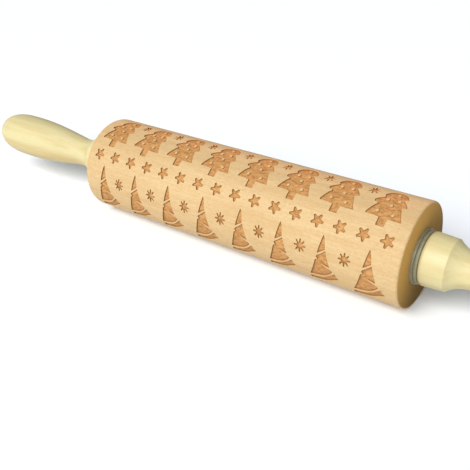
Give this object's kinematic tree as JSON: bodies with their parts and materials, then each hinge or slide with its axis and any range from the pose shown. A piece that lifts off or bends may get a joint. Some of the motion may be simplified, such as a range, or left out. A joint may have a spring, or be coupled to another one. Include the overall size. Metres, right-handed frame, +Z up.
{
  "type": "embossed rolling pin",
  "caption": "Rolling pin with an engraved wooden barrel that turns on a steel axle between two turned handles, for rolling a relief pattern into dough.",
  "frame": {"origin": "on the surface that the barrel rests on, under the middle of the barrel", "axes": "+X along the pin's axis, +Y across it, +Z up from the surface that the barrel rests on"},
  "size_m": [0.4578, 0.06, 0.06],
  "materials": {
    "beech": "sanded beech, engraving burnt to a reddish brown",
    "pale_wood": "smooth turned pale wood",
    "grey_plastic": "satin grey",
    "steel": "drawn steel rod"
  },
  "bodies": {
    "barrel": {"barrel": "beech", "bush_left": "grey_plastic", "bush_right": "grey_plastic"},
    "handles": {"axle": "steel", "thrust_washer_left": "grey_plastic", "thrust_washer_right": "grey_plastic", "handle_left": "pale_wood", "handle_right": "pale_wood"}
  },
  "joints": [
    {"name": "handle_spin", "type": "hinge", "parent": "barrel", "child": "handles", "pos_m": [0, 0, 0.03], "axis": [1, 0, 0], "continuous": true}
  ]
}
